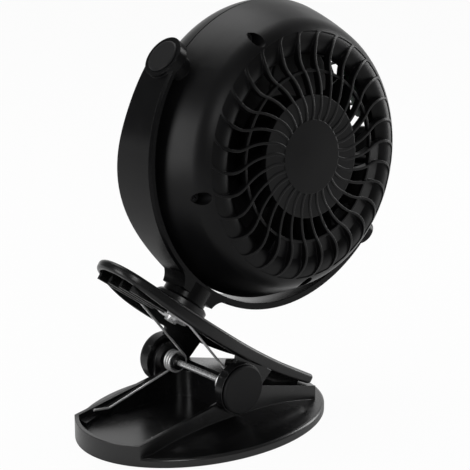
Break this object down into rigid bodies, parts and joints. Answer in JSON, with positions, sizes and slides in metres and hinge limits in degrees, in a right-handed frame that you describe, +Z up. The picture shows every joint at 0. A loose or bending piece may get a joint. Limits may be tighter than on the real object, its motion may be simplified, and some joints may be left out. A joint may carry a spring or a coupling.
{
  "type": "clip fan",
  "caption": "Black plastic clip fan: a round grilled fan head tilts in a swivelling curved yoke above a sprung clamp whose lower jaw is an oval foot.",
  "frame": {"origin": "centre of the oval foot's underside", "axes": "+X along the foot from the clip's handles to its jaw tip, +Y across, towards the side the fan blows to, +Z up"},
  "size_m": [0.1813, 0.1, 0.1995],
  "materials": {
    "black_plastic": "semi-gloss moulded black",
    "matte_black_plastic": "fine matte moulded black",
    "black_rubber": "matte black",
    "bright_steel": "drawn and turned, bright",
    "dark_screws": "black zinc",
    "impeller_plastic": "semi-gloss moulded dark grey",
    "board_laminate": "green lacquered laminate"
  },
  "bodies": {
    "base": {"base": "black_plastic", "foot_pad": "black_rubber", "lower_jaw_pad": "black_rubber", "axle": "bright_steel", "near_spring": "bright_steel", "far_spring": "bright_steel"},
    "lever": {"upper_lever": "black_plastic", "upper_jaw_pad": "black_rubber", "near_axle_cap": "matte_black_plastic", "far_axle_cap": "matte_black_plastic"},
    "yoke": {"yoke": "black_plastic", "left_pivot_cap": "matte_black_plastic", "right_pivot_cap": "matte_black_plastic", "pivot_screws": "bright_steel", "pivot_washers": "matte_black_plastic", "swivel_screw": "bright_steel", "swivel_washer": "bright_steel"},
    "head": {"rear_shell": "black_plastic", "front_guard": "black_plastic", "guard_badge": "black_plastic", "shell_screws": "dark_screws", "motor_can": "bright_steel", "motor_retainer": "matte_black_plastic", "motor_screws": "dark_screws", "circuit_board": "board_laminate", "board_screws": "dark_screws", "power_inlet": "bright_steel", "tact_switch": "matte_black_plastic"},
    "impeller": {"motor_shaft": "bright_steel", "impeller": "impeller_plastic"},
    "button": {"speed_button": "black_plastic"}
  },
  "joints": [
    {"name": "clip_open", "type": "hinge", "parent": "base", "child": "lever", "pos_m": [-0.001, 0, 0.0252], "axis": [0, -1, 0], "range_deg": [0, 36], "stiffness_Nm_per_rad": 1.1, "springref_deg": -31.51, "deforming": ["near_spring", "far_spring"]},
    {"name": "yoke_swivel", "type": "hinge", "parent": "lever", "child": "yoke", "pos_m": [-0.01513, 0, 0.05986], "axis": [0.6488, 0, 0.761], "continuous": true},
    {"name": "head_tilt", "type": "hinge", "parent": "yoke", "child": "head", "pos_m": [0.04274, 0, 0.12774], "axis": [-0.7604, 0.0384, 0.6483], "range_deg": [-180, 180]},
    {"name": "impeller_spin", "type": "hinge", "parent": "head", "child": "impeller", "pos_m": [0.04274, 0, 0.12774], "axis": [0.0095, -0.9975, 0.0703], "continuous": true},
    {"name": "speed_button_press", "type": "slide", "parent": "head", "child": "button", "axis": [-0.9426, -0.0324, -0.3324], "range_m": [0, 0.0007], "stiffness_N_per_m": 1200, "springref_m": -0.0005}
  ]
}
